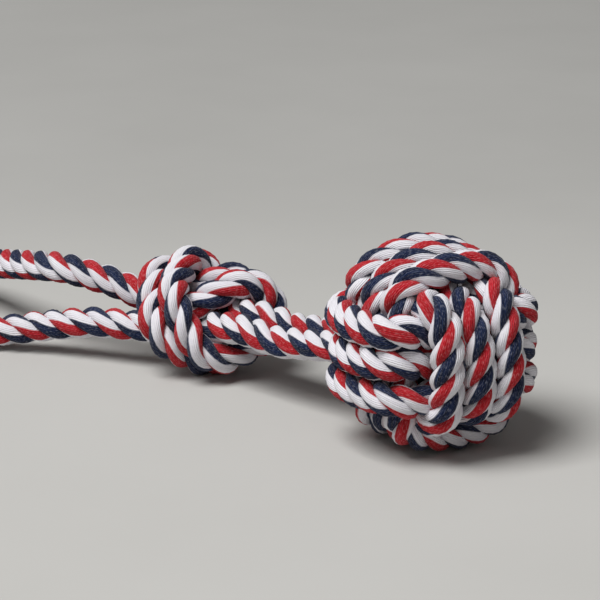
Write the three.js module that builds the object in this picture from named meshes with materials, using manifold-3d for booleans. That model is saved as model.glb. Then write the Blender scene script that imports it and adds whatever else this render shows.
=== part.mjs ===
// Rope dog toy: one laid cotton rope, tied into a monkey's fist ball, a two-rope neck, an overhand knot
// with both parts together, and a hand loop. Millimetres, +Z up. The toy lies on the plane Z = 0 along X,
// with the ball at +X and the hand loop at -X. The origin is under the middle of its box.
import * as THREE from 'three';
import { mergeVertices } from 'three/addons/utils/BufferGeometryUtils.js';
import Module from 'manifold-3d';

const wasm = await Module();
wasm.setup();

// Driving sizes of the rope
const ROPE_DIAMETER = 10;
const SQUEEZE = 0.7; // how much closer than a diameter the neck's two ropes lie
const PRESS = 1.4; // how much closer than a diameter one set of turns crosses another in the ball
const SPREAD = 0.5; // how much farther than a diameter the turns of one set lie from each other
const TURN_GAP = 0.8; // left between the surfaces of ropes that press on each other
const JOIN_GAP = 0.3; // left between two faces where one stretch of rope meets the next, or the core
const FLAT_DEPTH = ROPE_DIAMETER / 10; // how deep a rope that the toy rests on is pressed flat

// Driving sizes of the ball
const TURNS = 3; // in each of its three sets
const CORE_DIAMETER = 26;
const BALL_TURN = 68; // degrees about Z, from the X axis to the first set's outer face

// Driving sizes of the layout: X and Y from the knot's middle, Z above the floor
const BALL_DISTANCE = 102;
const NECK_DROP = 3; // from the ball's middle down to where the neck meets it
const NECK_TILT = 4; // degrees that the rear rope of the neck lies higher than the front one
const KNOT_ROLL = 220; // degrees that the knot lies turned about the rope's line
const KNOT_RISE = -7; // from the floor to the middle of the loose knot, before it is drawn tight
const KNOT_HALF = 26; // from its middle to where its ropes become neck and legs
const LEG_LENGTH = 40; // the bending stretch along X between the knot and the hand loop
const LEG_HOLD = 45; // from the knot's middle to where the legs are held while it is drawn tight
const LEG_EASE = 15; // short of that place, the stretch that eases each leg into its own direction
const LEG_ENDS = [
  [-LEG_HOLD, -8, 9],
  [-LEG_HOLD, 2, 26],
];
const LOOP_ROUTE = [
  [-58, -14, 6.5],
  [-71, -20, 5.2],
  [-90, -26, 5.2],
  [-110, -29, 5.2],
  [-126, -25, 5.2],
  [-137, -13, 5.2],
  [-140, 0, 5.5],
  [-135, 13, 6.6],
  [-122, 21, 9],
  [-105, 20, 13],
  [-88, 14, 17],
  [-72, 8, 21],
  [-58, 4, 24],
];

// Fineness
const SIDES = 8;
const TURN_STEPS = 36; // rings in one turn of the ball
const KNOT_STEP = 4; // between rings in the knot
const FREE_STEP = 12; // between rings where the rope runs free
const LENGTH_PARTS = 8; // between two points of a line when its length is measured
const FINE_STEP = 1; // between points of a stretch's line
const LEG_STEP = 6; // between rings in the neck and the legs
const PLACES = 4000; // along the whole rope, for finding where it is cut
const TURN_POINTS = 72; // points in one turn of the ball while it is drawn tight
const CORE_SIDES = 18;
const MARCH = 0.2; // step in which a neck rope is led up to the ball

const PITCH = ROPE_DIAMETER - SQUEEZE;
const CROSS_PITCH = ROPE_DIAMETER - PRESS;
const BALL_RADIUS = (CROSS_PITCH - TURN_GAP) / 2; // radii of the rope in the ball, the neck, the knot and the loop
const NECK_RADIUS = (PITCH - TURN_GAP) / 2;
const KNOT_RADIUS = (ROPE_DIAMETER - TURN_GAP) / 2;
const FREE_RADIUS = ROPE_DIAMETER / 2;

const vector = (x, y, z) => new THREE.Vector3(x, y, z);
const radians = THREE.MathUtils.degToRad;
const UP = vector(0, 0, 1);

// Drawing ropes tight

const PULL = 0.5; // share of the way to its neighbours' middle that a point moves in a round
const EASE = 0.25; // share of the rounds over which the pull fades
const SHARE = 0.3; // share of an overlap that one pass takes from each of two points
const PASSES = 3;
const REFRESH = 8; // rounds between two searches for points that lie near each other
const NEAR = 1.5; // spacings within which two points are watched
const BEND_LENGTH = 1.6; // spacings of rope that may bend back on itself freely

function lengthOf(rope) {
  let length = 0;
  for (let i = 1; i < rope.length; i++) {
    length += rope[i].distanceTo(rope[i - 1]);
  }
  return length;
}

function nearPairs(ropes, spacing) {
  const points = ropes.flat();
  const ropeOf = ropes.flatMap((rope, k) => rope.map(() => k));
  const steps = ropes.map((rope) => lengthOf(rope) / (rope.length - 1));
  const pairs = [];
  for (let i = 0; i < points.length; i++) {
    for (let j = i + 1; j < points.length; j++) {
      const along = ropeOf[i] === ropeOf[j] ? (j - i) * steps[ropeOf[i]] : Infinity;
      if (along > BEND_LENGTH * spacing && points[i].distanceTo(points[j]) < NEAR * spacing) {
        pairs.push([i, j, ropeOf[i] === ropeOf[j]]);
      }
    }
  }
  return pairs;
}

// Each point is pulled towards the middle of its neighbours, which shortens the ropes, and points that
// come closer than the spacing push each other apart. Points of the same rope may keep another spacing. The
// ropes' ends stay where they are, and no rope enters a core round the origin.
function drawTight(ropes, spacing, rounds, coreRadius = 0, ownSpacing = spacing) {
  const points = ropes.flat();
  const held = ropes.flatMap((rope) => rope.map((_, i) => i === 0 || i === rope.length - 1));
  const away = vector(0, 0, 0);
  let pairs = [];
  for (let round = 0; round < rounds; round++) {
    const pull = PULL * Math.min(1, (rounds - round) / (EASE * rounds));
    const middles = points.map((p, i) => (held[i] ? p : points[i - 1].clone().lerp(points[i + 1], 0.5)));
    points.forEach((p, i) => p.lerp(middles[i], pull));
    if (round % REFRESH === 0) {
      pairs = nearPairs(ropes, spacing);
    }
    for (let pass = 0; pass < PASSES; pass++) {
      const push = points.map(() => vector(0, 0, 0));
      for (const [i, j, sameRope] of pairs) {
        away.subVectors(points[i], points[j]);
        const overlap = (sameRope ? ownSpacing : spacing) - away.length();
        if (overlap > 0) {
          away.setLength(overlap * SHARE);
          push[i].add(away);
          push[j].sub(away);
        }
      }
      points.forEach((p, i) => {
        if (!held[i]) {
          p.add(push[i]);
          p.setLength(Math.max(p.length(), coreRadius));
        }
      });
    }
  }
  return ropes;
}

// The ball: three sets of turns in planes at right angles. Each set passes outside the next set on two
// faces of the ball and inside the one before it on two others.

const BALL_ROUNDS = 300;
const CROSS_HALF = 1.8 * PITCH; // half the stretch over which the rope crosses to its next turn
const END_TUCK = 1.2 * PITCH; // from the middle of that stretch to the set's first and last point

function roundedOutline(longHalf, shortHalf, corner) {
  const x = longHalf - corner;
  const y = shortHalf - corner;
  const outline = new THREE.Path();
  outline.moveTo(0, shortHalf);
  outline.lineTo(x, shortHalf);
  outline.absarc(x, y, corner, Math.PI / 2, 0, true);
  outline.lineTo(longHalf, -y);
  outline.absarc(x, -y, corner, 0, -Math.PI / 2, true);
  outline.lineTo(-x, -shortHalf);
  outline.absarc(-x, -y, corner, -Math.PI / 2, -Math.PI, true);
  outline.lineTo(-longHalf, y);
  outline.absarc(-x, y, corner, Math.PI, Math.PI / 2, true);
  outline.lineTo(0, shortHalf);
  return outline;
}

// The turns lie side by side, and the rope crosses from one to the next on the side that another set hides.
function looseSet(set) {
  const bandHalf = ((TURNS - 1) / 2) * PITCH;
  const outline = roundedOutline(bandHalf + 2 * PITCH, bandHalf + PITCH, PITCH);
  const turnLength = outline.getLength();
  const steps = TURNS * TURN_POINTS;
  const points = [];
  for (let i = 0; i <= steps; i++) {
    const along = END_TUCK + (TURNS * turnLength - 2 * END_TUCK) * (i / steps);
    const crossing = Math.round(along / turnLength);
    const crossed = THREE.MathUtils.smoothstep(along - crossing * turnLength, -CROSS_HALF, CROSS_HALF);
    const onOutline = outline.getPointAt((along / turnLength) % 1);
    const point = vector(0, 0, 0);
    point.setComponent(set % 3, onOutline.x);
    point.setComponent((set + 1) % 3, -onOutline.y);
    point.setComponent((set + 2) % 3, (crossing + crossed - (TURNS + 1) / 2) * PITCH);
    points.push(point);
  }
  return points;
}

const coreClearance = CORE_DIAMETER / 2 + JOIN_GAP + BALL_RADIUS;
const ballRopes = [0, 1, 2].map(looseSet);
drawTight(ballRopes, CROSS_PITCH, BALL_ROUNDS, coreClearance, ROPE_DIAMETER + SPREAD);
const ballHeight = BALL_RADIUS - FLAT_DEPTH - Math.min(...ballRopes.flat().map((p) => p.z));

// The knot: a loose overhand knot in one thick line, which is parted into two ropes and drawn tight.

const KNOT_POINTS = 90;
const LEAD_POINTS = 14;
const KNOT_REACH = 2.2; // the loose knot's curve runs from minus this to this
const KNOT_WIDTH = 2 * PITCH; // sizes of the loose knot's curve
const KNOT_HEIGHT = 1.7 * PITCH;
const KNOT_DEPTH = 0.9 * PITCH;
const DEPTH_LIMIT = 12;
const LINE_SPACING = 2.1 * ROPE_DIAMETER;
const LINE_ROUNDS = 500;
const KNOT_ROUNDS = 2500;

const rolled = (point) => point.applyAxisAngle(vector(1, 0, 0), radians(KNOT_ROLL));

// A polynomial curve that is knotted as an overhand knot is, with its two ends led out along X.
function looseKnot(start, end) {
  const line = [];
  for (let i = 0; i <= KNOT_POINTS; i++) {
    const t = KNOT_REACH * ((2 * i) / KNOT_POINTS - 1);
    const depth = DEPTH_LIMIT * Math.tanh((t ** 5 - 10 * t) / DEPTH_LIMIT);
    const width = t ** 3 - 3 * t;
    const height = t ** 4 - 4 * t ** 2;
    const point = vector(KNOT_WIDTH * width, KNOT_HEIGHT * height, -KNOT_DEPTH * depth);
    line.push(rolled(point).setZ(point.z + KNOT_RISE));
  }
  const shares = Array.from({ length: LEAD_POINTS }, (_, i) => i / LEAD_POINTS);
  const lead = (from, to) => shares.map((share) => from.clone().lerp(to, share));
  return [...lead(start, line[0]), ...line, ...lead(end, line[KNOT_POINTS]).reverse()];
}

// Directions square to a line, carried along it without twist.
function carriedNormals(line, first) {
  const normals = [];
  let normal = first.clone();
  line.forEach((_, i) => {
    const ahead = line[Math.min(i + 1, line.length - 1)];
    const behind = line[Math.max(i - 1, 0)];
    const tangent = vector(0, 0, 0).subVectors(ahead, behind).normalize();
    normal = normal.clone().addScaledVector(tangent, -normal.dot(tangent)).normalize();
    normals.push(normal);
  });
  return normals;
}

const legEnds = LEG_ENDS.map((place) => vector(...place));
const neckEnd = vector(BALL_DISTANCE - ROPE_DIAMETER, 0, ballHeight - NECK_DROP);
const neckAcross = vector(0, Math.cos(radians(NECK_TILT)), Math.sin(radians(NECK_TILT)));
const neckEnds = [-1, 1].map((side) => neckEnd.clone().addScaledVector(neckAcross, (side * PITCH) / 2));
const knotLine = looseKnot(legEnds[0].clone().lerp(legEnds[1], 0.5), neckEnd);
drawTight([knotLine], LINE_SPACING, LINE_ROUNDS);
const apart = carriedNormals(knotLine, rolled(vector(0, 0, -1)));
const lowerSide = -Math.sign(apart[0].z);
const frontSide = -Math.sign(apart.at(-1).y);
const knotRopes = [lowerSide, -lowerSide].map((side, k) => {
  const rope = knotLine.map((p, i) => p.clone().addScaledVector(apart[i], (side * ROPE_DIAMETER) / 2));
  rope[0] = legEnds[k];
  rope[rope.length - 1] = neckEnds[side === frontSide ? 0 : 1];
  return rope;
});
drawTight(knotRopes, ROPE_DIAMETER, KNOT_ROUNDS);

// The knot is let down until it rests on the floor, and its legs and neck follow.
const inKnot = (p) => Math.abs(p.x) < KNOT_HALF;
const sink = Math.min(...knotRopes.flat().filter(inKnot).map((p) => p.z)) - (KNOT_RADIUS - FLAT_DEPTH);
knotRopes.flat().forEach((p) => {
  p.z -= sink * (1 - THREE.MathUtils.smoothstep(Math.abs(p.x), KNOT_HALF, LEG_HOLD));
});
console.log(`The knot is let down by ${sink.toFixed(2)} mm`);

// Stretches of rope

function smoothLine(points) {
  const line = new THREE.CatmullRomCurve3(points);
  line.arcLengthDivisions = LENGTH_PARTS * points.length;
  return line;
}

// The part of a line between two places along it, as a line of its own.
function stretch(line, from, to) {
  const count = Math.ceil((to - from) / FINE_STEP);
  const places = Array.from({ length: count + 1 }, (_, i) => THREE.MathUtils.lerp(from, to, i / count));
  return smoothLine(places.map((place) => line.getPointAt(place / line.getLength())));
}

function ropeSection(radius) {
  const corners = Array.from({ length: SIDES }, (_, k) => (2 * Math.PI * k) / SIDES);
  return new THREE.Shape(corners.map((a) => new THREE.Vector2(radius * Math.cos(a), radius * Math.sin(a))));
}

function tubeAlong(line, radius, step) {
  return new THREE.ExtrudeGeometry(ropeSection(radius), {
    steps: Math.round(line.getLength() / step),
    bevelEnabled: false,
    extrudePath: line,
  });
}

// What lies below a level is cut off.
function cutFlat(geometry, level) {
  const bare = geometry.clone();
  bare.deleteAttribute('normal');
  bare.deleteAttribute('uv');
  const merged = mergeVertices(bare);
  const vertProperties = new Float32Array(merged.getAttribute('position').array);
  const triVerts = new Uint32Array(merged.getIndex().array);
  const solid = new wasm.Manifold(new wasm.Mesh({ numProp: 3, vertProperties, triVerts }));
  const cut = solid.trimByPlane([0, 0, 1], level).getMesh();
  const flat = new THREE.BufferGeometry();
  flat.setAttribute('position', new THREE.BufferAttribute(cut.vertProperties, 3));
  flat.setIndex(new THREE.BufferAttribute(cut.triVerts, 1));
  flat.computeVertexNormals();
  return flat;
}

// All the rope outside the ball is one line: from the ball through the knot, round the hand loop and back.
const legEnd = -KNOT_HALF - LEG_LENGTH;
const [lower, upper] = knotRopes.map((points) => points.filter((p, i) => i === 0 || p.x > LEG_EASE - LEG_HOLD));
const rope = smoothLine([...lower.toReversed(), ...LOOP_ROUTE.map((p) => vector(...p)), ...upper]);
const ropeLength = rope.getLength();
const places = Array.from({ length: PLACES }, (_, i) => (ropeLength * i) / PLACES);
const placeAt = (place) => rope.getPointAt(place / ropeLength);
const firstBefore = (x) => places.find((place) => placeAt(place).x < x);
const lastBefore = (x) => places.findLast((place) => placeAt(place).x < x);
const neckNames = knotRopes[0].at(-1) === neckEnds[0] ? ['front', 'back'] : ['back', 'front'];

// Where the neck's ropes stop, just short of the ball's turns.
const ballPlace = vector(BALL_DISTANCE, 0, ballHeight);
const turned = (p) => p.clone().applyAxisAngle(UP, radians(BALL_TURN));
const turnPoints = ballRopes.flat().map((p) => turned(p).add(ballPlace));

function reachToBall(from, march) {
  let place = from;
  for (; place > 0 && place < ropeLength; place += march) {
    const at = placeAt(place);
    const along = rope.getTangentAt(place / ropeLength);
    const clear = turnPoints.every((turn) => {
      const off = turn.clone().sub(at);
      const ahead = off.dot(along);
      const aside = off.addScaledVector(along, -ahead).length();
      return Math.hypot(ahead, Math.max(0, aside - NECK_RADIUS)) > BALL_RADIUS + JOIN_GAP;
    });
    if (!clear) {
      break;
    }
  }
  return place - march;
}

const cuts = [
  reachToBall(firstBefore(KNOT_HALF), -MARCH),
  firstBefore(KNOT_HALF),
  firstBefore(-KNOT_HALF),
  firstBefore(legEnd),
  lastBefore(legEnd),
  lastBefore(-KNOT_HALF),
  lastBefore(KNOT_HALF),
  reachToBall(lastBefore(KNOT_HALF), MARCH),
];

// Assembly

const RED = 0xc8282d;
const WHITE = 0xebe8e6;
const NAVY = 0x233255;
const DARK = 0x2b2b2d;
const SET_NAMES = ['first_turns', 'second_turns', 'third_turns'];

function piece(name, geometry, color) {
  const cotton = new THREE.MeshStandardMaterial({ color, roughness: 0.95, metalness: 0 });
  const mesh = new THREE.Mesh(geometry, cotton);
  mesh.name = name;
  return mesh;
}

const layout = new THREE.Group();

const ball = new THREE.Group();
ball.position.copy(ballPlace);
ball.rotation.z = radians(BALL_TURN);
ball.add(piece('core_ball', new THREE.SphereGeometry(CORE_DIAMETER / 2, CORE_SIDES, CORE_SIDES / 2), DARK));
SET_NAMES.forEach((name, set) => {
  const line = smoothLine(ballRopes[set]);
  const tube = tubeAlong(line, BALL_RADIUS, line.getLength() / (TURNS * TURN_STEPS));
  ball.add(piece(name, cutFlat(tube, -ballHeight), [RED, WHITE, NAVY][set]));
});
layout.add(ball);

const stretches = [
  [`neck_rope_${neckNames[0]}`, NECK_RADIUS, LEG_STEP, RED],
  ['knot_rope_lower', KNOT_RADIUS, KNOT_STEP, WHITE],
  ['leg_lower', FREE_RADIUS, LEG_STEP, NAVY],
  ['hand_loop', FREE_RADIUS, FREE_STEP, RED],
  ['leg_upper', FREE_RADIUS, LEG_STEP, NAVY],
  ['knot_rope_upper', KNOT_RADIUS, KNOT_STEP, WHITE],
  [`neck_rope_${neckNames[1]}`, NECK_RADIUS, LEG_STEP, RED],
];
stretches.forEach(([name, radius, step, color], k) => {
  const line = stretch(rope, cuts[k] + JOIN_GAP / 2, cuts[k + 1] - JOIN_GAP / 2);
  layout.add(piece(name, cutFlat(tubeAlong(line, radius, step), 0), color));
});

layout.updateMatrixWorld(true);
const box = new THREE.Box3().setFromObject(layout, true);
layout.position.set(-(box.min.x + box.max.x) / 2, -(box.min.y + box.max.y) / 2, 0);
const toy = new THREE.Group();
toy.add(layout);

// The least gap that each winding leaves to itself, measured on its points.
function leastGap(points, radius) {
  const step = lengthOf(points) / (points.length - 1);
  const apartBy = Math.ceil((BEND_LENGTH * PITCH) / step);
  let least = Infinity;
  points.forEach((p, i) => {
    points.slice(i + apartBy).forEach((q) => {
      least = Math.min(least, p.distanceTo(q));
    });
  });
  return least - 2 * radius;
}

[...ballRopes, ...knotRopes].forEach((points, k) => {
  const name = [...SET_NAMES, 'knot_rope_lower', 'knot_rope_upper'][k];
  const gap = leastGap(points, k < SET_NAMES.length ? BALL_RADIUS : KNOT_RADIUS);
  console.log(`${name}: least gap to itself ${gap.toFixed(2)} mm`);
});
console.log(`Rope in the hand loop: ${(cuts[4] - cuts[3]).toFixed(1)} mm`);
console.log('Box:', box.getSize(vector(0, 0, 0)).toArray().map((v) => Number(v.toFixed(2))));

// The hinges stand a quarter of the way along the neck and the legs, from each end of them.
const otherRope = (k) => cuts.length - 1 - k;
const HINGES = [
  ['neck_lift', 1, 0, 0.25],
  ['ball_sway', 1, 0, 0.75],
  ['handle_lift', 2, 3, 0.25],
  ['loop_sway', 2, 3, 0.75],
];
HINGES.forEach(([name, near, far, share]) => {
  const along = (from, to) => placeAt(THREE.MathUtils.lerp(cuts[from], cuts[to], share));
  const middle = along(near, far).lerp(along(otherRope(near), otherRope(far)), 0.5).add(layout.position);
  console.log(`${name} hinges at`, middle.toArray().map((v) => Number(v.toFixed(1))));
});

export default toy;
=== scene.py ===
# %% [markdown]
# # A rope dog toy
#
# The toy is one length of cotton rope. It is wound into a ball, tied in a knot and led round as a hand
# loop. The frame holds smooth tubes for it. This lesson lays the three strands of the rope along the same
# lines, so that each strand is a shape of its own, and dyes the strands red, white and navy.

import bpy
import numpy as np
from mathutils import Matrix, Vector


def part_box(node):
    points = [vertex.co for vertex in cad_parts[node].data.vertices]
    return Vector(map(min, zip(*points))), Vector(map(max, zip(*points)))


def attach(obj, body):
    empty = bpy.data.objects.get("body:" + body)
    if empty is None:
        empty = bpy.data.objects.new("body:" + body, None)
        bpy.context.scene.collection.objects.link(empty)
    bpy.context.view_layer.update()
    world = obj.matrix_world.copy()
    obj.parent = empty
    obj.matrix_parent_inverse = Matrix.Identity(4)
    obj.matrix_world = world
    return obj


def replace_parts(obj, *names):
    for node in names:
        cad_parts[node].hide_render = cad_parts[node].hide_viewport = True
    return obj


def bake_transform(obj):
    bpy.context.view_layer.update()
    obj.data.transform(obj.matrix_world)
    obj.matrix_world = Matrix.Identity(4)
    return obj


MM = 0.001
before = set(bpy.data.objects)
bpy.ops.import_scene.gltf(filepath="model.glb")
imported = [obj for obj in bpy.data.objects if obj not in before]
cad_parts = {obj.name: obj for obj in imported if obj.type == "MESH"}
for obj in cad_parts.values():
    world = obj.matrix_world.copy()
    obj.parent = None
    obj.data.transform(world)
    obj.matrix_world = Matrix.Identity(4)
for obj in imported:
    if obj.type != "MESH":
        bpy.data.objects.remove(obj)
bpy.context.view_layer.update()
core_low, core_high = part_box("core_ball")
BALL_CENTRE = (np.array(core_low) + np.array(core_high)) / 2
print("Middle of the ball in mm:", (BALL_CENTRE / MM).round(1))

# %% [markdown]
# ## Camera
#
# The photograph looks down on the toy from the right of its front, from about 0.9 m with a long lens. A
# camera could be pointed by hand, but then every change of the frame would move the picture. Here it is
# aimed so that the ball's middle falls on the same pixel as in the photograph.

# %% Camera at the photograph's angle
AZIMUTH, ELEVATION = np.radians((38.0, 17.0))
DISTANCE = 900 * MM
PICTURE = 600  # pixels along each side
FOCAL = 3060  # pixels
BALL_PIXEL = (432, 342)
SENSOR = 36  # mm, as on a full-size camera
NEAREST = 10 * MM  # nothing nearer to the lens is drawn


def direction_at(azimuth, elevation):
    """The direction from the toy to a place round it, by angles from its front and above the floor."""
    level = np.cos(elevation)
    return np.array([np.sin(azimuth) * level, -np.cos(azimuth) * level, np.sin(elevation)])


def new_object(name, data):
    made = bpy.data.objects.new(name, data)
    bpy.context.scene.collection.objects.link(made)
    return made


def turned_back(direction):
    """The turn that points a camera or a lamp against a direction."""
    return Vector(direction).to_track_quat("Z", "Y").to_euler()


backward = direction_at(AZIMUTH, ELEVATION)
rightward = np.array([np.cos(AZIMUTH), np.sin(AZIMUTH), 0])
upward = np.cross(backward, rightward)
pixel = DISTANCE / FOCAL
aim = BALL_CENTRE - rightward * (BALL_PIXEL[0] - PICTURE / 2) * pixel
aim = aim + upward * (BALL_PIXEL[1] - PICTURE / 2) * pixel

lens = bpy.data.cameras.new("camera")
lens.sensor_width = SENSOR
lens.lens = lens.sensor_width * FOCAL / PICTURE
lens.clip_start = NEAREST
camera = new_object("camera", lens)
camera.location = aim + backward * DISTANCE
camera.rotation_euler = turned_back(backward)
bpy.context.scene.camera = camera
print("Lens in mm:", round(lens.lens, 1), "camera at", camera.location[:])

# %% [markdown]
# ## Drawing ropes tight
#
# A knot is made loose and then pulled tight. The same works for points on a line: each point is pulled
# towards the middle of its neighbours, which shortens the rope, and points of different turns that come
# closer than one rope push each other apart. Turns of one rope may keep another distance from each other
# than from other ropes. Blender's cloth or curve tools could do it too, but this small loop gives the same
# result on every run.

# %% Points that lie near each other
NEAR = 1.5  # spacings within which two points are watched
BEND_LENGTH = 1.6  # spacings of rope that may bend back on itself freely


def unit(vectors):
    return vectors / np.linalg.norm(vectors, axis=-1, keepdims=True)


def near_pairs(points, rope_of, steps, spacing):
    apart = np.linalg.norm(points[:, None] - points[None], axis=2)
    place = np.arange(len(points))
    along = np.abs(place[:, None] - place[None]) * steps[rope_of][:, None]
    along[rope_of[:, None] != rope_of[None]] = np.inf
    return np.nonzero(np.triu((along > BEND_LENGTH * spacing) & (apart < NEAR * spacing)))


# %% Draw tight
PULL = 0.5  # share of the way to its neighbours' middle that a point moves in a round
EASE = 0.25  # share of the rounds over which the pull fades
SHARE = 0.3  # share of an overlap that one pass takes from each of two points
PASSES = 3
REFRESH = 8  # rounds between two searches for points that lie near each other


def draw_tight(ropes, spacing, rounds, core_radius=0.0, beside=None):
    points = np.vstack(ropes)
    counts = np.array([len(rope) for rope in ropes])
    rope_of = np.repeat(np.arange(len(ropes)), counts)
    ends = np.cumsum(counts)
    free = np.ones(len(points), bool)
    free[np.r_[ends - counts, ends - 1]] = False
    for turn in range(rounds):
        pull = PULL * min(1, (rounds - turn) / (EASE * rounds))
        middles = (np.roll(points, 1, axis=0) + np.roll(points, -1, axis=0)) / 2
        points[free] += pull * (middles - points)[free]
        if turn % REFRESH == 0:
            split = np.split(points, ends[:-1])
            steps = np.array([np.linalg.norm(np.diff(r, axis=0), axis=1).mean() for r in split])
            one, other = near_pairs(points, rope_of, steps, spacing)
        for _ in range(PASSES):
            away = points[one] - points[other]
            length = np.linalg.norm(away, axis=1)
            room = np.where(rope_of[one] == rope_of[other], beside or spacing, spacing)
            push = away * (SHARE * np.maximum(room - length, 0) / length)[:, None]
            moved = np.zeros_like(points)
            np.add.at(moved, one, push)
            np.add.at(moved, other, -push)
            points[free] += moved[free]
            if core_radius:
                length = np.linalg.norm(points, axis=1)
                points[free] *= np.maximum(1, core_radius / length)[free, None]
    return np.split(points, ends[:-1])


# %% [markdown]
# ## The ball
#
# The ball is a monkey's fist: three sets of three turns round a core, in planes at right angles. Each set
# passes outside the next one on two faces and inside the one before it on the other two. Rings could stand
# for the turns, but a real set is one rope that steps aside once in each turn. So the loose sets start as
# such ropes on rounded rectangles, and drawing them tight crowds them round the core.

# %% A loose set of turns
ROPE = 10 * MM
PITCH = 9.3 * MM  # between the middles of two ropes that press on each other
TURNS = 3
TURN_POINTS = 72
CROSS_HALF = 1.8 * PITCH  # half the length of rope in which a turn steps aside
END_TUCK = 1.2 * PITCH  # of rope that is left off at each end of a set


def lengths_along(line):
    return np.r_[0, np.cumsum(np.linalg.norm(np.diff(line, axis=0), axis=1))]


def along_line(line, places):
    """Points at these lengths along a line of short straight steps."""
    length = lengths_along(line)
    return np.column_stack([np.interp(places, length, side) for side in line.T])


def eased(share):
    """A share from 0 to 1 that starts and ends gently."""
    return share * share * (3 - 2 * share)


def rounded_outline(long_half, short_half, corner, samples=64):
    """A rounded rectangle, run clockwise from the middle of its upper side."""
    quarter = np.linspace(0, np.pi / 2, samples)
    x, y = long_half - corner, short_half - corner
    middles = [(x, y, 90), (x, -y, 0), (-x, -y, -90), (-x, y, 180)]
    line = [(0, short_half)]
    for middle_x, middle_y, start in middles:
        angle = np.radians(start) - quarter
        line += list(zip(middle_x + corner * np.cos(angle), middle_y + corner * np.sin(angle)))
    return np.array(line + [(0, short_half)])


def loose_set(axis):
    band_half = (TURNS - 1) / 2 * PITCH
    outline = rounded_outline(band_half + 2 * PITCH, band_half + PITCH, PITCH)
    turn_length = lengths_along(outline)[-1]
    along = np.linspace(END_TUCK, TURNS * turn_length - END_TUCK, TURNS * TURN_POINTS + 1)
    crossing = np.round(along / turn_length)
    step = np.clip((along - crossing * turn_length) / CROSS_HALF / 2 + 0.5, 0, 1)
    flat = along_line(outline, along % turn_length)
    points = np.zeros((len(along), 3))
    points[:, axis % 3] = flat[:, 0]
    points[:, (axis + 1) % 3] = -flat[:, 1]
    points[:, (axis + 2) % 3] = (crossing + eased(step) - (TURNS + 1) / 2) * PITCH
    return points


# %% Turns of the ball
CROSS_PITCH = 8.6 * MM  # where one set of turns crosses another
BESIDE_PITCH = 10.5 * MM  # between two turns of one set
BALL_RADIUS = 3.9 * MM  # of the frame's smooth rope in the ball
CORE_RADIUS = 13 * MM
CORE_GAP = 0.3 * MM
CORE_CLEARANCE = CORE_RADIUS + CORE_GAP + BALL_RADIUS
BALL_ROUNDS = 300
PRESS = ROPE / 10  # how far the rope is pressed flat on the floor

ball_sets = [loose_set(axis) for axis in range(3)]
ball_sets = draw_tight(ball_sets, CROSS_PITCH, BALL_ROUNDS, CORE_CLEARANCE, BESIDE_PITCH)
BALL_HEIGHT = BALL_RADIUS - PRESS - min(points[:, 2].min() for points in ball_sets)
print("Ball's middle above the floor in mm:", round(BALL_HEIGHT / MM, 2))
print("The same in the frame:", round(BALL_CENTRE[2] / MM, 2))

# %% [markdown]
# ## Rolling the ball round
#
# A finished ball is rolled under a board until it is round and its turns lie close at the eight corners
# where the three sets meet. A lattice could squeeze the whole ball, but it would flatten the ropes as well.
# Here only the lines move: the outer turns go towards one radius and towards the corners, the rope's ends
# are tucked in, and a last short drawing tight parts what came too close.

# %% Roll the ball round
ROUND_RADIUS = 27.8 * MM  # to the middle of the outer turns
ROUND_SHARE = 0.55  # of the way to that radius
INNER_REACH = 20 * MM  # turns that lie deeper stay where they are
OUTER_EASE = 5 * MM  # further out a turn moves fully
CORNER_SHARE = 0.3  # of the way to the nearest corner
CORNER_WIDTH = 10 * MM
TUCK_LENGTH = 14 * MM  # of rope that bends inwards at each end of a set
TUCK_DEPTH = 7 * MM
PRESSED_PITCH = 7.4 * MM  # the least between two sets that press on each other at a corner
PRESSED_BESIDE = 8.8 * MM  # the least between two turns of one set
LAST_ROUNDS = 4


def outer_share(points):
    """The points' distances from the ball's middle, and how far they count as outer turns."""
    reach = np.linalg.norm(points, axis=1, keepdims=True)
    return reach, np.clip((reach - INNER_REACH) / OUTER_EASE, 0, 1)


corners = np.array(np.meshgrid([-1, 1], [-1, 1], [-1, 1])).reshape(3, -1).T / np.sqrt(3)
for points in ball_sets:
    reach, outer = outer_share(points)
    points += ROUND_SHARE * outer * (ROUND_RADIUS - reach) * points / reach
    for corner in corners:
        reach, outer = outer_share(points)
        to_corner = corner * reach - points
        near = np.exp(-(to_corner**2).sum(axis=1, keepdims=True) / CORNER_WIDTH**2)
        points += CORNER_SHARE * near * outer * to_corner
    length = lengths_along(points)
    to_end = np.minimum(length, length[-1] - length)
    points -= TUCK_DEPTH * (np.clip(1 - to_end / TUCK_LENGTH, 0, 1) ** 2)[:, None] * unit(points)
ball_sets = draw_tight(ball_sets, PRESSED_PITCH, LAST_ROUNDS, CORE_CLEARANCE, PRESSED_BESIDE)
reaches = [np.linalg.norm(points, axis=1).max() / MM for points in ball_sets]
print("Farthest line of each set from the ball's middle in mm:", np.round(reaches, 1))

# %% [markdown]
# ## The knot
#
# Both parts of the rope leave the ball, are tied together in one overhand knot, and run on as the two legs
# of the hand loop. The knot could be drawn point by point, but no hand places its turns as evenly as a pull
# does. So a thick line is tied first, along a polynomial curve that is knotted as an overhand knot is. It is
# parted into two ropes, which are drawn tight between the neck and the legs.

# %% A loose knot
KNOT_ROLL = np.radians(220)
KNOT_RISE = -7 * MM
KNOT_REACH = 2.2  # of the curve's parameter, on both sides of the knot's middle
KNOT_POINTS = 91
KNOT_WIDTH, KNOT_HEIGHT, KNOT_DEPTH = 2 * PITCH, 1.7 * PITCH, -0.9 * PITCH
DEPTH_LIMIT = 12  # knot depths at which the curve flattens out
LEAD_POINTS = 14


def rolled(points):
    cos, sin = np.cos(KNOT_ROLL), np.sin(KNOT_ROLL)
    return points @ np.array([[1, 0, 0], [0, cos, -sin], [0, sin, cos]]).T


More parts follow.
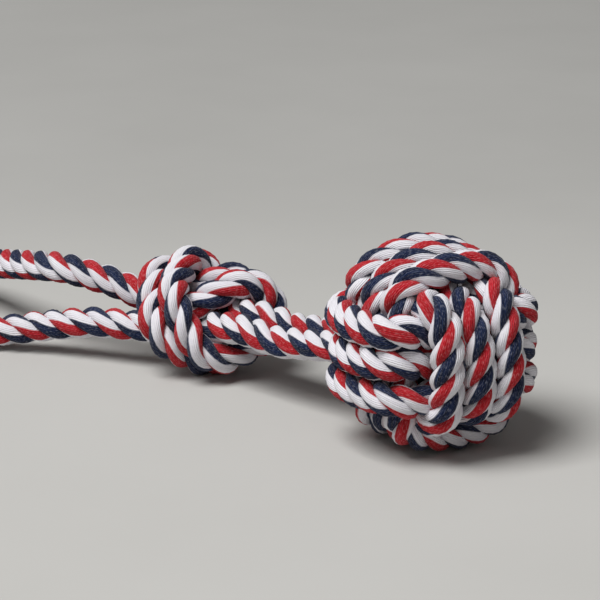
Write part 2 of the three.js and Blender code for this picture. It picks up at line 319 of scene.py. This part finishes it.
def loose_knot(start, end):
    t = np.linspace(-KNOT_REACH, KNOT_REACH, KNOT_POINTS)
    width = KNOT_WIDTH * (t**3 - 3 * t)
    height = KNOT_HEIGHT * (t**4 - 4 * t**2)
    depth = KNOT_DEPTH * DEPTH_LIMIT * np.tanh((t**5 - 10 * t) / DEPTH_LIMIT)
    line = rolled(np.column_stack([width, height, depth])) + [0, 0, KNOT_RISE]
    lead = np.linspace(0, 1, LEAD_POINTS, endpoint=False)[:, None]
    lead_in = start + lead * (line[0] - start)
    lead_out = (end + lead * (line[-1] - end))[::-1]
    return np.vstack([lead_in, line, lead_out])


# %% Part the knot and draw it tight
BALL_DISTANCE = 102 * MM
NECK_DROP = 3 * MM  # of the neck's end below the ball's middle
NECK_TILT = np.radians(4)
LEG_ENDS = MM * np.array([[-45, -8, 9], [-45, 2, 26]])
PAIR = 2.1 * ROPE  # both parts of the rope as one thick line
LINE_ROUNDS, KNOT_ROUNDS = 500, 2500


def carried_normals(tangents, first):
    """Directions square to a line, carried along it without twist."""
    normals = []
    for tangent in tangents:
        first = unit(first - (first @ tangent) * tangent)
        normals.append(first)
    return np.array(normals)


def tangents_of(line):
    ahead = np.vstack([line[1:], line[-1:]])
    behind = np.vstack([line[:1], line[:-1]])
    return unit(ahead - behind)


neck_end = np.array([BALL_DISTANCE - ROPE, 0, BALL_HEIGHT - NECK_DROP])
neck_across = np.array([0, np.cos(NECK_TILT), np.sin(NECK_TILT)]) * PITCH / 2
(knot_line,) = draw_tight([loose_knot(LEG_ENDS.mean(axis=0), neck_end)], PAIR, LINE_ROUNDS)
apart = carried_normals(tangents_of(knot_line), rolled(np.array([0.0, 0, -1])))
lower_side, front_side = -np.sign(apart[0, 2]), -np.sign(apart[-1, 1])
knot_ropes = []
for side, leg_end in zip((lower_side, -lower_side), LEG_ENDS):
    rope = knot_line + apart * side * ROPE / 2
    rope[0] = leg_end
    rope[-1] = neck_end - neck_across if side == front_side else neck_end + neck_across
    knot_ropes.append(rope)
knot_ropes = draw_tight(knot_ropes, ROPE, KNOT_ROUNDS)
print("Ropes through the knot in mm:", [round(lengths_along(rope)[-1] / MM) for rope in knot_ropes])

# %% Let the knot down to the floor
KNOT_HALF = 26 * MM
KNOT_RADIUS = 4.6 * MM  # of the frame's smooth rope in the knot
LEG_HOLD = 45 * MM  # from the knot's middle, where the ropes keep their height again

in_knot = [rope[np.abs(rope[:, 0]) < KNOT_HALF, 2] for rope in knot_ropes]
sink = min(heights.min() for heights in in_knot) - (KNOT_RADIUS - PRESS)
for rope in knot_ropes:
    step = np.clip((np.abs(rope[:, 0]) - KNOT_HALF) / (LEG_HOLD - KNOT_HALF), 0, 1)
    rope[:, 2] -= sink * (1 - eased(step))
print("The knot is let down by", round(sink / MM, 2), "mm")

# %% [markdown]
# ## One line for the rope outside the ball
#
# From the ball through the knot, round the hand loop and back is one length of rope. Each piece could have a
# line of its own, but its strands would not meet those of the next piece. So the ropes of the knot and the
# route of the loop become one smooth line with even steps. The loop lies on the table and rises to the upper
# leg, as the photograph shows as far as its edge.

# %% Smooth and even lines
RING = 1.1 * MM  # between two rings of a strand


def smooth_line(points, parts=16):
    """A centripetal Catmull-Rom curve through the points, as one fine line."""
    padded = np.vstack([2 * points[0] - points[1], points, 2 * points[-1] - points[-2]])
    x0, x1, x2, x3 = padded[:-3], padded[1:-2], padded[2:-1], padded[3:]
    spans = ((x0, x1), (x1, x2), (x2, x3))
    d0, d1, d2 = [np.sqrt(np.linalg.norm(b - a, axis=1))[:, None] for a, b in spans]
    t1 = d1 * ((x1 - x0) / d0 - (x2 - x0) / (d0 + d1) + (x2 - x1) / d1)
    t2 = d1 * ((x2 - x1) / d1 - (x3 - x1) / (d1 + d2) + (x3 - x2) / d2)
    fine = []
    for t in np.arange(parts) / parts:
        a, b = 2 * t**3 - 3 * t**2 + 1, t**3 - 2 * t**2 + t
        fine.append(a * x1 + b * t1 + (1 - a) * x2 + (t**3 - t**2) * t2)
    return np.vstack([np.stack(fine, axis=1).reshape(-1, 3), points[-1:]])


def even_line(points):
    fine = smooth_line(points)
    length = lengths_along(fine)[-1]
    return along_line(fine, np.linspace(0, length, round(length / RING) + 1))


# %% Lead the rope round the loop
LEG_EASE = 15 * MM  # of each leg that the smooth line rounds off before the loop
LOOP_ROUTE = MM * np.array(
    [
        [-58, -14, 6.5],
        [-71, -20, 5.2],
        [-90, -26, 5.2],
        [-110, -29, 5.2],
        [-126, -25, 5.2],
        [-137, -13, 5.2],
        [-140, 0, 5.5],
        [-135, 13, 6.6],
        [-122, 21, 9],
        [-105, 20, 13],
        [-88, 14, 17],
        [-72, 8, 21],
        [-58, 4, 24],
    ]
)

lower, upper = [
    np.vstack([rope[:1], rope[1:][rope[1:, 0] > LEG_EASE - LEG_HOLD]]) for rope in knot_ropes
]
rope_line = even_line(np.vstack([lower[::-1], LOOP_ROUTE, upper]))
shift = BALL_CENTRE - [BALL_DISTANCE, 0, BALL_HEIGHT]
print("Rope outside the ball in mm:", round(RING * len(rope_line) / MM))

# %% [markdown]
# ## Laid rope
#
# The rope is laid from three strands that wind round each other to the right, once in about two rope
# diameters. Each strand is also twisted round itself, by half a turn more than it goes round the rope, so
# red and navy come up by turns. A texture could draw the strands on a smooth tube, but then the outline would
# stay smooth. Here each strand is a tube of its own on a helix round the rope's line. A UV map named lay
# keeps the place round the strand and the length along it, which is all that the dye needs.

# %% Strands along a line
LAY = 22 * MM  # of rope in which a strand goes once round
STRANDS = 3
HELIX = 2.62 * MM  # from the rope's middle to a strand's middle
STRAND = 2.42 * MM  # radius of a strand
YARN_GROUPS = 4
GROUP_SWELL = 0.025
SIDES = 24
BACK_TWIST = 1.5  # turns of a strand round itself in one lay
FIRST_NORMAL = np.array([0.21, 0.34, 0.92])
WAVES = [(0.083, 1.0), (0.047, 0.7), (0.029, 0.45)]  # lengths in m and heights
WAVE_SEED, WAVE_SHIFT = 2.4, 1.7
TURN_WANDER = 0.1  # radians by which the lay is uneven
DYE_WANDER, STRAND_SEED = 0.04, 1.3  # turns by which the dye drifts, in each strand in its own way
FLATTEN, WIDEN = 0.09, 0.05  # shares by which a rope in the ball is pressed flat


def wander(length, seed, size):
    """A smooth irregular value along the rope, from a few waves that don't repeat together."""
    start = seed * WAVE_SEED
    turns = [2 * np.pi * length / wave + start * (k + WAVE_SHIFT) for k, (wave, _) in enumerate(WAVES)]
    return size * sum(height * np.sin(turn) for turn, (_, height) in zip(turns, WAVES))


def square_to(vectors, tangents):
    return unit(vectors - (vectors * tangents).sum(axis=1, keepdims=True) * tangents)


def strands_along(line, seed, lay_length=LAY, centre=None, phase=0.0):
    """Rings of the strands along a line: places, normals and the lay map, by strand, ring and side."""
    length, tangents = lengths_along(line), tangents_of(line)
    if centre is None:
        normals = carried_normals(tangents, FIRST_NORMAL)
    else:
        normals = square_to(unit(line - centre), tangents)
    across = np.cross(tangents, normals)
    angle = np.linspace(-np.pi, np.pi, SIDES + 1)
    places, radials, lays = [], [], []
    for strand in range(STRANDS):
        turn = 2 * np.pi * (length / lay_length + strand / STRANDS) + wander(length, seed, TURN_WANDER)
        out = np.cos(turn)[:, None] * normals + np.sin(turn)[:, None] * across
        middle = line + HELIX * out
        along = tangents_of(middle)
        out = square_to(out, along)
        side = np.cross(along, out)
        twist = BACK_TWIST * (turn / (2 * np.pi) - strand / STRANDS) + phase
        lay = angle / (2 * np.pi) + twist[:, None]
        lay = lay + wander(length, seed + strand * STRAND_SEED, DYE_WANDER)[:, None]
        swell = 1 + GROUP_SWELL * np.cos(2 * np.pi * YARN_GROUPS * (lay - 0.5 / YARN_GROUPS))
        radial = np.cos(angle)[:, None] * out[:, None] + np.sin(angle)[:, None] * side[:, None]
        place = middle[:, None] + STRAND * swell[..., None] * radial
        if centre is not None:
            off = place - line[:, None]
            deep = (off * normals[:, None]).sum(axis=2, keepdims=True)
            wide = (off * across[:, None]).sum(axis=2, keepdims=True)
            place = place - FLATTEN * deep * normals[:, None] + WIDEN * wide * across[:, None]
        places.append(place)
        radials.append(radial)
        lays.append(np.stack([lay, np.broadcast_to(length[:, None] / MM, lay.shape)], axis=2))
    return np.array(places), np.array(radials), np.array(lays)


# %% A piece of rope from its strands
def rope_piece(name, strands, first, last):
    """A mesh of the strands from ring first to ring last, each strand closed at both ends."""
    places, radials, lays = [part[:, first : last + 1] for part in strands]
    count = last - first + 1
    vertices = places[:, :, :SIDES].reshape(-1, 3).copy()
    vertices[:, 2] = np.maximum(vertices[:, 2], 0)  # pressed flat on the floor
    faces, uvs, normals = [], [], []
    sides = np.arange(SIDES)
    after = (sides + 1) % SIDES
    for strand in range(len(places)):
        start = strand * count * SIDES
        for ring in range(count - 1):
            here, there = start + ring * SIDES, start + (ring + 1) * SIDES
            faces += np.column_stack([here + sides, here + after, there + after, there + sides]).tolist()
            picks = ((ring, sides), (ring, sides + 1), (ring + 1, sides + 1), (ring + 1, sides))
            uvs.append(np.stack([lays[strand][pick] for pick in picks], axis=1).reshape(-1, 2))
            normals.append(np.stack([radials[strand][pick] for pick in picks], axis=1).reshape(-1, 3))
        for ring, order in ((0, sides[::-1]), (count - 1, sides)):
            cap = start + ring * SIDES + order
            faces.append(cap.tolist())
            uvs.append(lays[strand][ring, order])
            one, two, three = vertices[cap[[0, SIDES // 3, 2 * SIDES // 3]]]
            normals.append(np.tile(unit(np.cross(two - one, three - one)), (SIDES, 1)))
    mesh = bpy.data.meshes.new(name)
    mesh.from_pydata(vertices.tolist(), [], faces)
    mesh.uv_layers.new(name="lay").data.foreach_set("uv", np.vstack(uvs).ravel())
    mesh.shade_smooth()
    mesh.normals_split_custom_set(np.vstack(normals).tolist())
    return new_object(name, mesh)


# %% [markdown]
# ## Cutting the rope into pieces
#
# In the frame the knot is the fixed body, and the ball and the loop swing on the stretches of rope beside
# it. One long mesh could be bent by an armature, but the frame moves bodies. So each stretch that bends in
# the frame is a piece of its own, and each neck rope and each leg is cut in two halves, one at the knot and
# one far from it. All pieces are cut from one set of strands, so the strands run on across every cut.

# %% Where the rope is cut
NECK_END = 71.5 * MM  # from the knot's middle to where the frame's neck meets the ball
TUCK = 8 * MM  # further into the ball, between its turns
LEG_LENGTH = 40 * MM

strands = strands_along(rope_line + shift, seed=1)
x = rope_line[:, 0]
limits = (NECK_END + TUCK, KNOT_HALF, -KNOT_HALF, -KNOT_HALF - LEG_LENGTH)
cuts = [np.argmax(x < limit) for limit in limits]
cuts += [len(x) - 1 - np.argmax(x[::-1] < limit) for limit in reversed(limits)]
tuck_rings = round(TUCK / RING)
bends = [cuts[0] + tuck_rings, *cuts[1:-1], cuts[-1] - tuck_rings]
print("The rope is cut at rings", [int(cut) for cut in cuts])

# %% Neck ropes and legs
KNOT_BEND, FAR_BEND = (0.05, 0.45), (0.55, 0.95)  # shares of a stretch at which the middle between the rope's two parts is found for each half


def pair_middle(near, far, share):
    """The middle between the rope's two parts at a share of the way along the neck or the legs."""
    one = round(bends[near] + share * (bends[far] - bends[near]))
    two = round(bends[7 - near] + share * (bends[7 - far] - bends[7 - near]))
    return (rope_line[one] + rope_line[two]) / 2 + shift


def bending_pair(node, near, far, ends):
    """The two halves of a neck rope or leg, each across one of the two hinges."""
    half = round((bends[near] + bends[far]) / 2)
    knot_half = rope_piece(f"{node}_at_knot", strands, *sorted((cuts[near], half)))
    far_half = rope_piece(f"{node}_far", strands, *sorted((half, cuts[far])))
    knot_start, knot_end = [pair_middle(*ends, share) for share in KNOT_BEND]
    far_start, far_end = [pair_middle(*ends, share) for share in FAR_BEND]
    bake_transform(knot_half)
    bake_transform(far_half)
    for half_piece in (knot_half, far_half):
        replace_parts(half_piece, node)
    return [knot_half, far_half]


rope_pieces = bending_pair("neck_rope_back", 1, 0, (1, 0))
rope_pieces += bending_pair("neck_rope_front", 6, 7, (1, 0))
rope_pieces += bending_pair("leg_lower", 2, 3, (2, 3))
rope_pieces += bending_pair("leg_upper", 5, 4, (2, 3))
print("Bending pieces:", [piece.name for piece in rope_pieces])

# %% Knot ropes and hand loop
for node, first, last in (("knot_rope_lower", 1, 2), ("knot_rope_upper", 5, 6)):
    piece = rope_piece(f"{node}_laid", strands, cuts[first], cuts[last])
    rope_pieces.append(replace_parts(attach(piece, "knot"), node))
hand_loop = rope_piece("hand_loop_laid", strands, cuts[3], cuts[4])
rope_pieces.append(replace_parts(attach(hand_loop, "loop"), "hand_loop"))
loop_line = rope_line[cuts[3] : cuts[4] + 1] + shift

# %% [markdown]
# ## Winding the ball
#
# Each set of turns is one piece that moves with the ball. Its strands could be carried along the line
# without twist, as outside the ball, but then the dye would come up differently on every turn. Here the
# strands count from the outward side, so neighbouring turns match. The rope is pressed a little flat, and
# its lay is shorter than in the free rope, as it looks in the photograph.

# %% Pieces of the ball
BALL_TURN = np.radians(68)
BALL_LAY = 19 * MM
FIRST_SEED, SEED_STEP = 5, 3
SET_PHASE = 0.04  # turns by which the dye starts later in the next set

cos, sin = np.cos(BALL_TURN), np.sin(BALL_TURN)
ball_turn = np.array([[cos, -sin, 0], [sin, cos, 0], [0, 0, 1]])
for axis, node in enumerate(("first_turns", "second_turns", "third_turns")):
    set_line = even_line(ball_sets[axis]) @ ball_turn.T + BALL_CENTRE
    seed, phase = FIRST_SEED + SEED_STEP * axis, SET_PHASE * axis
    set_strands = strands_along(set_line, seed, BALL_LAY, BALL_CENTRE, phase)
    piece = rope_piece(f"{node}_laid", set_strands, 0, len(set_line) - 1)
    rope_pieces.append(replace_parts(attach(piece, "ball"), node))
    low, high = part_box(node)
    print(node, "in mm: frame", [round(side / MM, 1) for side in high - low], end=" ")
    print("laid", [round(side / MM, 1) for side in piece.dimensions])

# %% [markdown]
# ## Writing shaders as sums
#
# A material is a graph of nodes. Wiring each node by name is long to read, so a small class stands for a
# socket: Python's operators on it add Math nodes, and one method makes any other node from its type, its
# settings and its inputs.

# %% Sockets
class Socket:
    """A value in a shader, on which Python's operators add Math nodes."""

    def __init__(self, finish, output):
        self.finish, self.output = finish, output

    def math(self, operation, *values):
        return self.finish.node("ShaderNodeMath", {"operation": operation}, dict(enumerate(values)))

    def __add__(self, other):
        return self.math("ADD", self, other)

    def __mul__(self, other):
        return self.math("MULTIPLY", self, other)

    def __sub__(self, other):
        return self.math("SUBTRACT", self, other)

    def __rsub__(self, other):
        return self.math("SUBTRACT", other, self)

    __radd__ = __add__
    __rmul__ = __mul__

    def fraction(self):
        return self.math("FRACT", self)

    def cosine(self):
        return self.math("COSINE", self)


# %% Materials and their nodes
class Finish:
    """A material and the method that adds a node to it."""

    def __init__(self, name):
        self.material = bpy.data.materials.new(name)
        self.material.use_nodes = True
        self.tree = self.material.node_tree
        self.tree.nodes.clear()

    def node(self, kind, settings=None, inputs=None, output=0):
        node = self.tree.nodes.new(kind)
        for key, value in (settings or {}).items():
            if key == "stops":
                elements = node.color_ramp.elements
                while len(elements) < len(value):
                    elements.new(0.5)
                for element, (position, colour) in zip(elements, value):
                    element.position, element.color = position, (*colour, 1)
            else:
                setattr(node, key, value)
        for key, value in (inputs or {}).items():
            if isinstance(value, Socket):
                self.tree.links.new(value.output, node.inputs[key])
            else:
                node.inputs[key].default_value = value
        return Socket(self, node.outputs[output]) if len(node.outputs) else None

    def mix(self, factor, one, other, blend="MIX"):
        settings = {"data_type": "RGBA", "blend_type": blend}
        return self.node("ShaderNodeMix", settings, {0: factor, 6: one, 7: other}, output=2)

    def noise(self, vector, scale, detail=2.0):
        inputs = {"Vector": vector, "Scale": scale, "Detail": detail}
        return self.node("ShaderNodeTexNoise", None, inputs)

    def between(self, value, low, high, at_low=0.0, at_high=1.0, curve="LINEAR"):
        inputs = dict(enumerate((value, low, high, at_low, at_high)))
        return self.node("ShaderNodeMapRange", {"interpolation_type": curve}, inputs)

    def bump(self, height, strength, distance):
        inputs = {"Strength": strength, "Distance": distance, "Height": height}
        return self.node("ShaderNodeBump", None, inputs)

    def surface(self, constants, varying):
        shader = self.node("ShaderNodeBsdfPrincipled", None, {**constants, **varying})
        self.node("ShaderNodeOutputMaterial", None, {"Surface": shader})
        return self.material


# %% [markdown]
# ## Dyed cotton
#
# Each strand holds four groups of yarn: red, white, navy and white. The lay map's first number counts turns
# round the strand, so its fraction picks the group, and small noise keeps the edge between two dyes from
# being a ruled line. Image textures could do it, but the lay map already follows every strand. Darker and
# lighter yarns, pale flecks of loose fibre and yarn ridges in the bump make it cotton and not plastic. Cotton
# has no gloss, but its fibres catch light at grazing angles, which sheen gives.

# %% Dye of the strands
YARNS = 24  # on the round of a strand
RED, WHITE, NAVY = (0.54, 0.018, 0.031), (0.85, 0.835, 0.875), (0.009, 0.021, 0.074)
RED_END, WHITE_END, NAVY_END = 0.27, 0.49, 0.78  # on the round of a strand
SOFT = 0.012  # half the width of the edge between two dyes
EDGE_WAVER = 0.05

cotton = Finish("dyed_cotton")
lay_map = cotton.node("ShaderNodeUVMap", {"uv_map": "lay"})
round_strand = cotton.node("ShaderNodeSeparateXYZ", None, {0: lay_map}, output=0)
along_strand = cotton.node("ShaderNodeSeparateXYZ", None, {0: lay_map}, output=1)


def yarn_noise(across, along, detail=2.0):
    """Noise that is drawn out along the yarn: cells on the round of a strand and in one mm of rope."""
    place = cotton.node("ShaderNodeCombineXYZ", None, {0: round_strand * across, 1: along_strand * along})
    return cotton.noise(place, 1.0, detail)


edge_waver = yarn_noise(YARNS, 0.25) - 0.5
group = (round_strand + EDGE_WAVER * edge_waver).fraction()
stops = [(0.0, WHITE), (SOFT, RED), (RED_END - SOFT, RED)]
stops += [(RED_END + SOFT, WHITE), (WHITE_END - SOFT, WHITE)]
stops += [(WHITE_END + SOFT, NAVY), (NAVY_END - SOFT, NAVY)]
stops += [(NAVY_END + SOFT, WHITE), (1.0, WHITE)]
dye = cotton.node("ShaderNodeValToRGB", {"stops": stops}, {0: group})
print("Stops round a strand:", [round(place, 3) for place, _ in stops])

# %% Yarns and fibres
FLECK = (0.75, 0.74, 0.74, 1)

tone = yarn_noise(YARNS, 0.15, 3.0)
fibre = yarn_noise(YARNS * 1.8, 1.7, 4.0)
shade = cotton.between(0.65 * tone + 0.35 * fibre, 0.40, 0.58, at_low=0.72, at_high=0.0)
shaded = cotton.mix(shade, dye, cotton.mix(1.0, dye, dye, "MULTIPLY"))
flecks = cotton.between(fibre, 0.5, 0.75, at_low=0.0, at_high=0.19)
colour = cotton.mix(flecks, shaded, FLECK)

yarn_phase = round_strand * (2 * np.pi * YARNS) + 3.0 * edge_waver
ridges = cotton.bump(1.1 * tone * yarn_phase.cosine() + fibre, 0.7, 0.2 * MM)
cotton_finish = cotton.surface(
    {"Specular IOR Level": 0.2, "Sheen Weight": 0.08, "Sheen Roughness": 0.5},
    {"Base Color": colour, "Roughness": 0.82 + 0.14 * fibre, "Normal": ridges},
)
for piece in rope_pieces:
    piece.data.materials.append(cotton_finish)
print("Nodes in the cotton:", len(cotton.tree.nodes), "on pieces:", len(rope_pieces))

# %% [markdown]
# ## Core
#
# A ball of this size would fall in without something round inside. The turns hide it, so it only darkens the
# gaps between them. A plain black would do for that, but the core keeps its form from the frame and gets the
# dull, slightly dusty finish of rubber, so that it also looks right where a gap opens.

# %% Core material
BLACK, DUSTY = (0.012, 0.012, 0.013, 1), (0.045, 0.043, 0.042, 1)

rubber = Finish("core_rubber")
spot = rubber.node("ShaderNodeTexCoord", None, None, output=3)
dust = rubber.noise(spot, 140.0, 4.0)
rubber_finish = rubber.surface(
    {"Specular IOR Level": 0.3},
    {
        "Base Color": rubber.mix(dust, BLACK, DUSTY),
        "Roughness": 0.6 + 0.25 * dust,
        "Normal": rubber.bump(dust, 0.2, 0.2 * MM),
    },
)
core = bpy.data.objects["core_ball"]
core.data.materials.clear()
core.data.materials.append(rubber_finish)
print("Core in mm:", [round(side / MM, 1) for side in core.dimensions])

# %% [markdown]
# ## Floor
#
# The toy lies on a pale, slightly cloudy table. A curved sheet could close the view behind it, as in a
# studio, but it would stand in the way of views from other sides. So the floor is one wide plane, and it
# darkens softly at a distance behind the toy.

# %% Floor
FLOOR_HALF = 4.0
FLOOR_DROP = 0.1 * MM  # below the toy, so that two faces never lie in one plane
FAR_DISTANCE = 200 * MM  # behind the point that the camera aims at
FAR_EASE = 0.15
NEAR_TONES = (0.50, 0.492, 0.47, 1), (0.55, 0.542, 0.52, 1)
FAR_TONES = (0.40, 0.395, 0.378, 1), (0.47, 0.464, 0.446, 1)

floor_mesh = bpy.data.meshes.new("floor")
square = [(-1, -1), (1, -1), (1, 1), (-1, 1)]
floor_points = [(FLOOR_HALF * a, FLOOR_HALF * b, -FLOOR_DROP) for a, b in square]
floor_mesh.from_pydata(floor_points, [], [(0, 1, 2, 3)])
floor = new_object("floor", floor_mesh)

concrete = Finish("pale_concrete")
ground = concrete.node("ShaderNodeTexCoord", None, None, output=3)
away = np.array([-np.sin(AZIMUTH), np.cos(AZIMUTH), 0])
settings = {"operation": "DOT_PRODUCT"}
behind = concrete.node("ShaderNodeVectorMath", settings, {0: ground, 1: away}, output=1)
far_line = float(aim @ away) + FAR_DISTANCE
farness = concrete.between(behind, far_line - FAR_EASE, far_line + FAR_EASE, curve="SMOOTHSTEP")
clouds = concrete.noise(ground, 9.0, 5.0)
near_tone, far_tone = [concrete.mix(clouds, *tones) for tones in (NEAR_TONES, FAR_TONES)]
floor_colour = concrete.mix(farness, near_tone, far_tone)
floor_mesh.materials.append(
    concrete.surface({"Roughness": 0.9, "Specular IOR Level": 0.1}, {"Base Color": floor_colour})
)
print("The floor darkens", round(far_line, 2), "m behind the frame's origin")

# %% [markdown]
# ## Light
#
# The light is that of a soft studio: one large lamp from the upper left makes the soft shadow to the right,
# a weak one beside the camera opens the front, and the world fills the rest. A sun lamp would be simpler,
# but its shadow has a hard edge unless it is made wide.

# %% Lamps
WORLD_LIGHT = 0.13


def soft_lamp(name, azimuth, elevation, distance, size, power):
    """A square lamp, placed round the toy in degrees from the camera's side and above the floor."""
    direction = direction_at(AZIMUTH + np.radians(azimuth), np.radians(elevation))
    lamp = bpy.data.lights.new(name, "AREA")
    lamp.size, lamp.energy = size, power
    holder = new_object(name, lamp)
    holder.location = BALL_CENTRE + direction * distance
    holder.rotation_euler = turned_back(direction)
    print(name, "lamp at", [round(side, 2) for side in holder.location])


soft_lamp("key", azimuth=-55, elevation=62, distance=2.8, size=1.6, power=87)
soft_lamp("fill", azimuth=10, elevation=35, distance=1.8, size=1.6, power=1.3)

world = bpy.data.worlds.new("studio")
world.use_nodes = True
sky = world.node_tree.nodes["Background"]
sky.inputs["Color"].default_value = (1, 1, 1, 1)
sky.inputs["Strength"].default_value = WORLD_LIGHT
bpy.context.scene.world = world
bpy.context.scene.view_settings.view_transform = "Standard"
